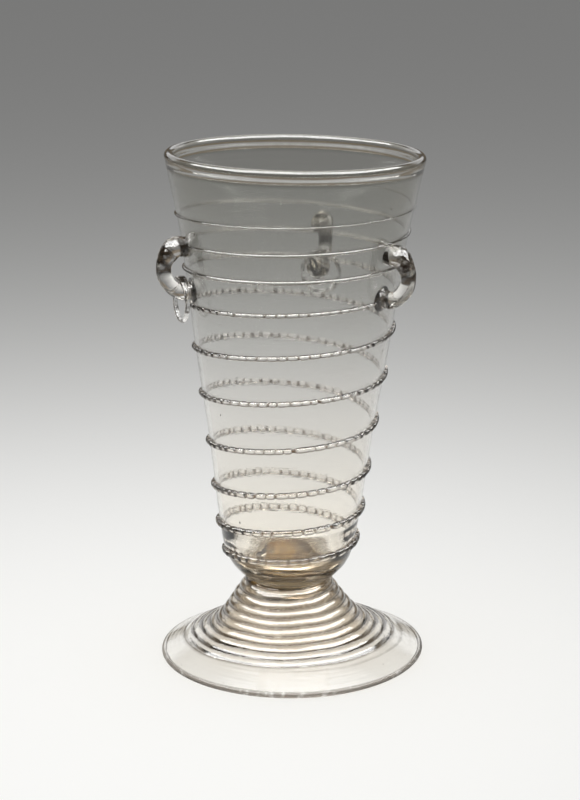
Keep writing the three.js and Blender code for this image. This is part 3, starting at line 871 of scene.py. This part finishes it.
def makeThreadTree(values):
    tree, given, made = newTree("pinchedThread", values)
    even = {"Curve": given["Geometry"], "Length": given["Step"]}
    even = addNode(tree, "GeometryNodeResampleCurve", even, mode="LENGTH")
    upright = addNode(tree, "GeometryNodeSetCurveNormal", [even.outputs[0]], mode="Z_UP")
    kept = addNode(tree, "GeometryNodeCaptureAttribute", [upright.outputs[0]])
    for kind, label in (("FLOAT", "Run"), ("VECTOR", "Middle"), ("FLOAT", "Size")):
        kept.capture_items.new(kind, label)
    tree.links.new(addNode(tree, "GeometryNodeSplineParameter").outputs["Length"], kept.inputs["Run"])
    tree.links.new(addNode(tree, "GeometryNodeInputPosition").outputs[0], kept.inputs["Middle"])
    size = addNode(tree, "GeometryNodeInputRadius").outputs[0]
    tree.links.new(size, kept.inputs["Size"])
    circle = {"Resolution": given["Sides"], "Radius": 0.5}
    circle = addNode(tree, "GeometryNodeCurvePrimitiveCircle", circle).outputs[0]
    tube = {"Curve": kept.outputs[0], "Profile Curve": circle, "Scale": size, "Fill Caps": True}
    tube = addNode(tree, "GeometryNodeCurveToMesh", tube).outputs[0]
    place = addNode(tree, "GeometryNodeInputPosition").outputs[0]
    run, middle, size = (kept.outputs[label] for label in ("Run", "Middle", "Size"))
    half = product(tree, size, 0.5)
    off = vectorNode(tree, "SUBTRACT", place, middle)
    axes = split(tree, middle)
    outward = vectorNode(tree, "NORMALIZE", combine(tree, axes[0], axes[1], 0.0))
    reach = mathNode(tree, "DIVIDE", vectorNode(tree, "DOT_PRODUCT", off, outward), half)
    rise = mathNode(tree, "DIVIDE", split(tree, off)[2], half)
    # a rounder or squarer section, by the power of its two axes
    power = given["Squareness"]
    sides = [mathNode(tree, "POWER", mathNode(tree, "ABSOLUTE", side), power) for side in (reach, rise)]
    total = mathNode(tree, "MAXIMUM", mathNode(tree, "ADD", *sides), thread["leastSum"])
    fill = mathNode(tree, "POWER", total, mathNode(tree, "DIVIDE", -1.0, power))
    # pinches, uneven in spacing and strength as by hand, and fewer of them higher up
    chance = noiseNode(tree, run, given["Sway Size"], thread["pinchSwayDetail"], "1D")
    uneven = mathNode(tree, "SUBTRACT", chance, 0.5)
    shifted = mathNode(tree, "MULTIPLY_ADD", uneven, given["Pinch Sway"], run)
    turns = product(tree, mathNode(tree, "DIVIDE", shifted, given["Pinch Spacing"]), fullTurn)
    pulse = mathNode(tree, "MULTIPLY_ADD", mathNode(tree, "COSINE", turns), 0.5, 0.5)
    pulse = mathNode(tree, "POWER", pulse, given["Pinch Sharpness"])
    plain = softStep(tree, axes[2], given["Plain Above"], given["Plain From"])
    strength = mathNode(tree, "MULTIPLY_ADD", uneven, given["Pinch Spread"], given["Pinch Mean"])
    strength = product(tree, plain, strength)
    pulse = mathNode(tree, "MAXIMUM", product(tree, pulse, strength), 0.0)
    thin = mathNode(tree, "SUBTRACT", 1.0, product(tree, pulse, given["Pinch Depth"]))
    low = mathNode(tree, "SUBTRACT", 1.0, product(tree, pulse, given["Pinch Height"]))
    # the outer half stands out, the inner half lies flat inside the wall
    outer = product(tree, mathNode(tree, "MAXIMUM", reach, 0.0), fill, thin, given["Standout"], size)
    inner = mathNode(tree, "MINIMUM", product(tree, reach, thread["backSlope"]), 1.0)
    inner = product(tree, mathNode(tree, "MAXIMUM", inner, 0.0), given["Embed"])
    out = mathNode(tree, "SUBTRACT", outer, inner)
    up = product(tree, product(tree, rise, fill), product(tree, half, low))
    # the wall leans outward, and the section's back leans with it
    out = mathNode(tree, "MULTIPLY_ADD", up, given["Wall Lean"], out)
    away = vectorNode(tree, "ADD", scaled(tree, outward, out), combine(tree, 0.0, 0.0, up))
    shaped = vectorNode(tree, "ADD", middle, away)
    # painted shade on the pinches and the ribbon's two edges; the marks are set before the points move
    edges = mathNode(tree, "POWER", mathNode(tree, "ABSOLUTE", rise), given["Edge Line"])
    edges = product(tree, edges, thread["edgeTint"])
    thickAndShade = mathNode(tree, "MINIMUM", mathNode(tree, "MAXIMUM", pulse, edges), 1.0)
    moved = {0: markPoints(tree, tube, "thickAndShade", thickAndShade), "Position": shaped}
    moved = addNode(tree, "GeometryNodeSetPosition", moved).outputs[0]
    closeTree(tree, moved, made, given["Glass"])
    return tree


def makeThreadCurve():
    points, tall = threadPath()
    turn = np.array(leanPlace)
    placed = (points @ turn[:3, :3].T + turn[:3, 3]) * mm
    data = bpy.data.curves.new("threadPath", "CURVE")
    data.dimensions = "3D"
    spline = data.splines.new("POLY")
    spline.points.add(len(placed) - 1)
    spline.points.foreach_set("co", np.c_[placed, np.ones(len(placed))].ravel())
    spline.points.foreach_set("radius", tall * mm)
    path = bpy.data.objects.new("threadPath", data)
    bpy.context.scene.collection.objects.link(path)
    return path


threadValues = {
    "Step": thread["step"] * mm,
    "Standout": thread["standout"],
    "Embed": thread["embed"] * mm,
    "Squareness": thread["squareness"],
    "Pinch Spacing": thread["pinchSpacing"] * mm,
    "Pinch Depth": thread["pinchDepth"],
    "Pinch Height": thread["pinchHeight"],
    "Pinch Sharpness": thread["pinchSharpness"],
    "Pinch Sway": thread["pinchSway"] * mm,
    "Sway Size": thread["pinchSwaySize"],
    "Pinch Mean": thread["pinchMean"],
    "Pinch Spread": thread["pinchSpread"],
    "Plain From": (thread["pinchTop"][0] + bowl["base"][2]) * mm,
    "Plain Above": (thread["pinchTop"][1] + bowl["base"][2]) * mm,
    "Wall Lean": thread["wallLean"],
    "Edge Line": thread["edgeLine"],
    "Sides": thread["sides"],
    "Glass": threadGlass,
}
threadPiece = runTree(makeThreadCurve(), makeThreadTree(threadValues), threadValues, "wound_thread")
dress(threadPiece, glassBody, "trail_thread")
print("thread made:", len(threadPiece.data.polygons), "faces")


# Handles: a rod drawn out of the wall, up, and folded back to it with a crimped head
handle = {
    "azimuths": {"back": 72, "left": 197, "right": 322},
    "rootHeight": 124.4,
    "reach": 11.65,
    "rise": 18.0,
    "root": 5.3,
    "arm": 3.45,
    "rod": 3.0,
    "head": 4.5,
    "standoff": 4.5,
    "embed": 0.25,
    "step": 0.45,
    "sides": 28,
    "crimpSpacing": 1.9,
    "crimpDepth": 0.55,
    "crimpFrom": 0.6,
    "crimpTo": 0.93,
    "crimpEnds": 14,
    "crimpSide": 0.1,
    "blotchSize": 0.34,
    "blotchFrom": -0.06,
    "blotchSharpness": 7,
    "blotchStart": 0.42,
    "blotchRise": 12,
    "rootTint": 0.8,
    "rootTintAt": 1.2,
    "rootTintWidth": 1.6,
    "endTints": [0.5, 0.2],
    "blotchSeed": 11,
    "uneven": 0.16,
    "unevenSize": (0.22, 0.3, 0.22),
    "unevenSeed": 7,
}


def handleLine():
    h = handle
    root = float(wallRadius(h["rootHeight"]))
    lean = float(wallRadius(h["rootHeight"] + h["rise"])) - root
    stations = [
        (0.0, h["root"], 0),
        (h["standoff"] / 6, (h["root"] + 2 * h["arm"]) / 3, 0),
        (h["standoff"] / 2.5, h["arm"] * 1.08, 0),
        (h["standoff"], h["arm"], 0),
        (h["reach"] * 0.7, h["rod"], h["rise"] * 0.1),
        (h["reach"] * 0.98, h["rod"], h["rise"] * 0.36),
        (h["reach"], h["rod"] * 1.06, h["rise"] * 0.62),
        (h["reach"] * 0.84, h["head"] * 0.88, h["rise"] * 0.86),
        ((h["reach"] + lean) / 2, h["head"] * 0.97, h["rise"]),
        (lean + h["head"] / 3, h["head"] * 0.9, h["rise"]),
        (lean, h["head"] * 0.92, h["rise"] * 0.985),
    ]
    line = [(root + out, rod, h["rootHeight"] + up) for out, rod, up in stations]
    return smoothLine(line, h["step"])


def handleMesh(azimuth, seed):
    h = handle
    line = handleLine()
    middle = line[:, [0, 2]]
    ahead = np.gradient(middle, axis=0)
    ahead /= np.linalg.norm(ahead, axis=1)[:, None]
    share = np.linspace(0, 1, len(line))
    angle = np.linspace(0, fullTurn, h["sides"], endpoint=False)
    rings, marks = [], []
    for i, (out, rod, up) in enumerate(line):
        # the ring's own axes: away from the loop's hollow, and sideways
        awayOut, awayUp = ahead[i][1], -ahead[i][0]
        ring = []
        for a in angle:
            reach = rod * math.cos(a)
            aside = rod * math.sin(a)
            crimp, groove = 0.0, 0.0
            outer = math.cos(a) - h["crimpSide"]
            if h["crimpFrom"] < share[i] < h["crimpTo"] and outer > 0:
                run = i * h["step"] / h["crimpSpacing"]
                across = aside / h["crimpSpacing"]
                grid = abs(math.sin(math.pi * (run + across))) * abs(math.sin(math.pi * (run - across)))
                fromEnd = min(share[i] - h["crimpFrom"], h["crimpTo"] - share[i])
                edge = min(1, fromEnd * h["crimpEnds"])
                crimp = h["crimpDepth"] * (grid - 1) * edge * min(1, 2 * outer)
                # the crimp's grooves carry painted shade
                groove = (1 - grid) ** 2 * edge
            # painted shade: dark blotches in the upper rod and the head, and a dark root where the handle
            # meets the wall
            size = h["blotchSize"]
            cloud = noise.noise(Vector((out * size + seed * h["blotchSeed"], aside * size, up * size)))
            blotch = min(1.0, max(0.0, (cloud - h["blotchFrom"]) * h["blotchSharpness"]))
            blotch *= min(1.0, max(0.0, (share[i] - h["blotchStart"]) * h["blotchRise"]))
            fromRoot = abs(i * h["step"] - h["rootTintAt"]) / h["rootTintWidth"]
            marks.append(max(groove, blotch, h["rootTint"] * max(0.0, 1 - fromRoot)))
            x, y, z = h["unevenSize"]
            swell = noise.noise(Vector((out * x + seed * h["unevenSeed"], aside * y, up * z)))
            grown = 1 + (crimp + h["uneven"] * swell) / rod
            ring.append((out + awayOut * reach * grown, aside * grown, up + awayUp * reach * grown))
        rings.append(ring)
    rings = np.array(rings)
    # the two ends lie on the wall, a little inside its surface
    for i in (0, -1):
        x, y, z = rings[i].T
        seat = wallRadius(z) - h["embed"]
        rings[i][:, 0] = np.sqrt(np.maximum(seat**2 - y**2, 1))
    first = middleOf(rings[0], h["embed"])
    last = middleOf(rings[-1], h["embed"])
    points = np.vstack([rings.reshape(-1, 3), first, last])
    sides = h["sides"]
    here = np.arange(len(rings) * sides).reshape(len(rings), sides)
    after = np.roll(here, -1, 1)
    faces = np.stack([here[:-1], after[:-1], after[1:], here[1:]], 2).reshape(-1, 4).tolist()
    faces += [(len(points) - 2, after[0, j], here[0, j]) for j in range(sides)]
    faces += [(len(points) - 1, here[-1, j], after[-1, j]) for j in range(sides)]
    turn = math.radians(azimuth)
    spin = np.array([[math.cos(turn), -math.sin(turn), 0], [math.sin(turn), math.cos(turn), 0], [0, 0, 1]])
    # the middles of the two ends carry painted shade where they meet the wall
    return points @ spin.T, faces, marks + h["endTints"]


def middleOf(ring, embed):
    middle = ring.mean(0)
    middle[0] = wallRadius(middle[2]) - embed
    middle[1] = 0
    return middle


for seed, (side, azimuth) in enumerate(handle["azimuths"].items()):
    points, faces, marks = handleMesh(azimuth, seed)
    piece = makePiece(f"loop_{side}", points, faces, leanPlace)
    markMesh(piece, "thickAndShade", marks)
    piece.data.materials.append(handleGlass)
    dress(piece, glassBody, f"handle_{side}")
print("handles made")


# Rings: a loop of thread through each of two handles, its ends lapped on top
ring = {
    "inner": 7.4,
    "wire": 0.95,
    "lapWire": 1.4,
    "lapSpread": 1.9,
    "lapPower": 3,
    "lapSeam": 0.3,
    "seamPower": 6,
    "lapTint": 0.75,
    "patchSize": 3,
    "patchFrom": 0.1,
    "patchSharpness": 4,
    "patchSeed": 3,
    "uneven": 0.06,
    "unevenSize": (2, 0.4),
    "unevenSeed": 5,
    "clearance": 0.4,
    "steps": 120,
    "sides": 16,
}


def ringMesh(azimuth, seed):
    r = ring
    drop = r["inner"] - handle["arm"] - r["clearance"]
    out = float(wallRadius(handle["rootHeight"])) + handle["standoff"]
    hook = leanPlace @ Vector((out * math.cos(azimuth), out * math.sin(azimuth), handle["rootHeight"]))
    points, marks = [], []
    size, sideStep = r["unevenSize"]
    patchSize = r["patchSize"]
    for i in range(r["steps"]):
        around = fullTurn * i / r["steps"]
        x, y = math.cos(around), math.sin(around)
        lap = max(0.0, x) ** r["lapPower"]
        wire = r["wire"] + (r["lapWire"] - r["wire"]) * lap
        for j in range(r["sides"]):
            angle = fullTurn * j / r["sides"]
            swell = Vector((x * size + seed * r["unevenSeed"], y * size, j * sideStep))
            uneven = r["uneven"] * noise.noise(swell)
            # the two ends of the wire lie side by side, with a seam between them; the seam and the lap carry
            # painted shade, and dark patches lie at random
            seam = lap * max(0.0, math.cos(angle)) ** r["seamPower"]
            patch = Vector((x * patchSize + seed * r["patchSeed"], y * patchSize, math.cos(angle)))
            patch = (noise.noise(patch) - r["patchFrom"]) * r["patchSharpness"]
            marks.append(min(1.0, max(seam, patch, 0.0) + r["lapTint"] * lap))
            reach = r["inner"] + wire + (wire + uneven - r["lapSeam"] * seam) * math.cos(angle)
            aside = (r["wire"] + (r["lapSpread"] - r["wire"]) * lap + uneven) * math.sin(angle)
            points.append((
                hook.x + aside * math.cos(azimuth) - reach * y * math.sin(azimuth),
                hook.y + aside * math.sin(azimuth) + reach * y * math.cos(azimuth),
                hook.z + reach * x - drop,
            ))
    here = np.arange(len(points)).reshape(r["steps"], r["sides"])
    after, ahead = np.roll(here, -1, 1), np.roll(here, -1, 0)
    faces = np.stack([here, after, np.roll(after, -1, 0), ahead], 2).reshape(-1, 4).tolist()
    return points, faces, marks


for seed, side in enumerate(("back", "left")):
    points, faces, marks = ringMesh(math.radians(handle["azimuths"][side]), seed)
    piece = makePiece(f"hanging_ring_{side}", points, faces)
    markMesh(piece, "thickAndShade", marks)
    piece.data.materials.append(ringGlass)
    dress(piece, f"ring_{side}", f"ring_{side}")
print("rings made")

scene = bpy.context.scene
scene.view_settings.view_transform = "Standard"

bpy.context.view_layer.update()
